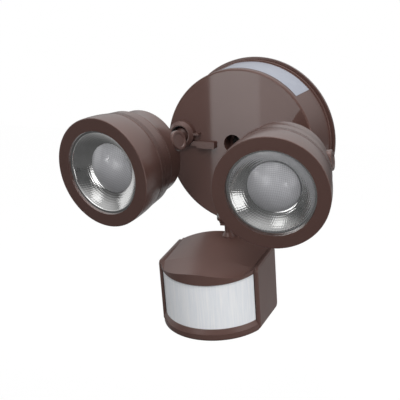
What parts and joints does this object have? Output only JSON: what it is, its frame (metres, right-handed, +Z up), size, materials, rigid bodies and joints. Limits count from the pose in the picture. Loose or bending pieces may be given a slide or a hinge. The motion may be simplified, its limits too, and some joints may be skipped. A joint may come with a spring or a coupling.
{
  "type": "motion sensor security light",
  "caption": "Bronze outdoor security light with round lamp heads on jointed arms and a hooded motion sensor below a round wall canopy.",
  "frame": {"origin": "centre of the mounting plate's back, on the wall", "axes": "+Y goes into the wall, the light faces -Y, +Z is up and +X is to the right of someone who faces the light"},
  "size_m": [0.2599, 0.1831, 0.2378],
  "materials": {
    "bronze_casting": "satin",
    "bronze_plastic": "satin",
    "bronze_steel": "satin",
    "pin_steel": "satin",
    "reflector_metal": "polished",
    "front_glass": "gloss",
    "milky_dome": "satin",
    "milky_lens": "satin",
    "gasket_rubber": "matte",
    "led_board_white": "satin",
    "circuit_board": "satin",
    "sensor_can": "satin",
    "dial_black": "matte",
    "driver_case": "matte",
    "nylon_bush": "matte"
  },
  "bodies": {
    "canopy": {"mounting_plate": "bronze_steel", "canopy_gasket": "gasket_rubber", "canopy_cover": "bronze_casting", "fixing_screw": "pin_steel", "driver_box": "driver_case", "ball_bush_left": "nylon_bush", "ball_bush_right": "nylon_bush", "ball_bush_sensor": "nylon_bush"},
    "collar_left": {"lock_collar_left": "bronze_casting"},
    "collar_right": {"lock_collar_right": "bronze_casting"},
    "collar_sensor": {"lock_collar_sensor": "bronze_casting"},
    "arm_left": {"ball_arm_left": "bronze_casting"},
    "arm_right": {"ball_arm_right": "bronze_casting"},
    "arm_sensor": {"ball_arm_sensor": "bronze_casting"},
    "head_left": {"bezel_left": "bronze_casting", "lens_glass_left": "front_glass", "reflector_left": "reflector_metal", "diffuser_dome_left": "milky_dome", "led_board_left": "led_board_white", "heat_sink_left": "bronze_casting", "rear_cap_left": "bronze_casting", "hinge_pin_left": "pin_steel", "hinge_tip_left_left": "bronze_casting", "hinge_tip_right_left": "bronze_casting"},
    "head_right": {"bezel_right": "bronze_casting", "lens_glass_right": "front_glass", "reflector_right": "reflector_metal", "diffuser_dome_right": "milky_dome", "led_board_right": "led_board_white", "heat_sink_right": "bronze_casting", "rear_cap_right": "bronze_casting", "hinge_pin_right": "pin_steel", "hinge_tip_left_right": "bronze_casting", "hinge_tip_right_right": "bronze_casting"},
    "sensor": {"sensor_shell": "bronze_plastic", "sensor_hood": "bronze_plastic", "sensor_base": "bronze_plastic", "motion_lens": "milky_lens", "sensor_board": "circuit_board", "pyro_element": "sensor_can", "sensor_fork": "bronze_casting", "sensor_pin": "pin_steel"},
    "time_dial": {"time_dial": "dial_black"},
    "range_dial": {"range_dial": "dial_black"}
  },
  "joints": [
    {"name": "lock_left", "type": "hinge", "parent": "canopy", "child": "collar_left", "pos_m": [-0.058, -0.0495, 0.0104], "axis": [0, -1, 0], "range_deg": [0, 60]},
    {"name": "lock_right", "type": "hinge", "parent": "canopy", "child": "collar_right", "pos_m": [0.058, -0.0495, 0.0104], "axis": [0, -1, 0], "range_deg": [-60, 0]},
    {"name": "lock_sensor", "type": "hinge", "parent": "canopy", "child": "collar_sensor", "pos_m": [0.0015, -0.0495, -0.052], "axis": [0, -1, 0], "range_deg": [0, 90]},
    {"name": "pan_left", "type": "hinge", "parent": "canopy", "child": "arm_left", "pos_m": [-0.058, -0.0495, 0.0104], "axis": [0, 0, 1], "range_deg": [-7, 22]},
    {"name": "pan_right", "type": "hinge", "parent": "canopy", "child": "arm_right", "pos_m": [0.058, -0.0495, 0.0104], "axis": [0, 0, 1], "range_deg": [-22, 7]},
    {"name": "pan_sensor", "type": "hinge", "parent": "canopy", "child": "arm_sensor", "pos_m": [0.0015, -0.0495, -0.052], "axis": [0, 0, 1], "range_deg": [-15, 15]},
    {"name": "tilt_left", "type": "hinge", "parent": "arm_left", "child": "head_left", "pos_m": [-0.06988, -0.1072, 0.00316], "axis": [0.912, -0.2304, 0.3395], "range_deg": [-45, 45]},
    {"name": "tilt_right", "type": "hinge", "parent": "arm_right", "child": "head_right", "pos_m": [0.06704, -0.10722, -0.00002], "axis": [0.9848, 0.1345, 0.1097], "range_deg": [-45, 45]},
    {"name": "tilt_sensor", "type": "hinge", "parent": "arm_sensor", "child": "sensor", "pos_m": [0.0035, -0.09, -0.0585], "axis": [0.998, 0.0628, 0], "range_deg": [-12, 20]},
    {"name": "turn_time", "type": "hinge", "parent": "sensor", "child": "time_dial", "pos_m": [-0.01659, -0.09842, -0.15043], "axis": [-0.0072, 0.1147, -0.9934], "range_deg": [-135, 135]},
    {"name": "turn_range", "type": "hinge", "parent": "sensor", "child": "range_dial", "pos_m": [0.01335, -0.09653, -0.15043], "axis": [-0.0072, 0.1147, -0.9934], "range_deg": [-135, 135]}
  ]
}
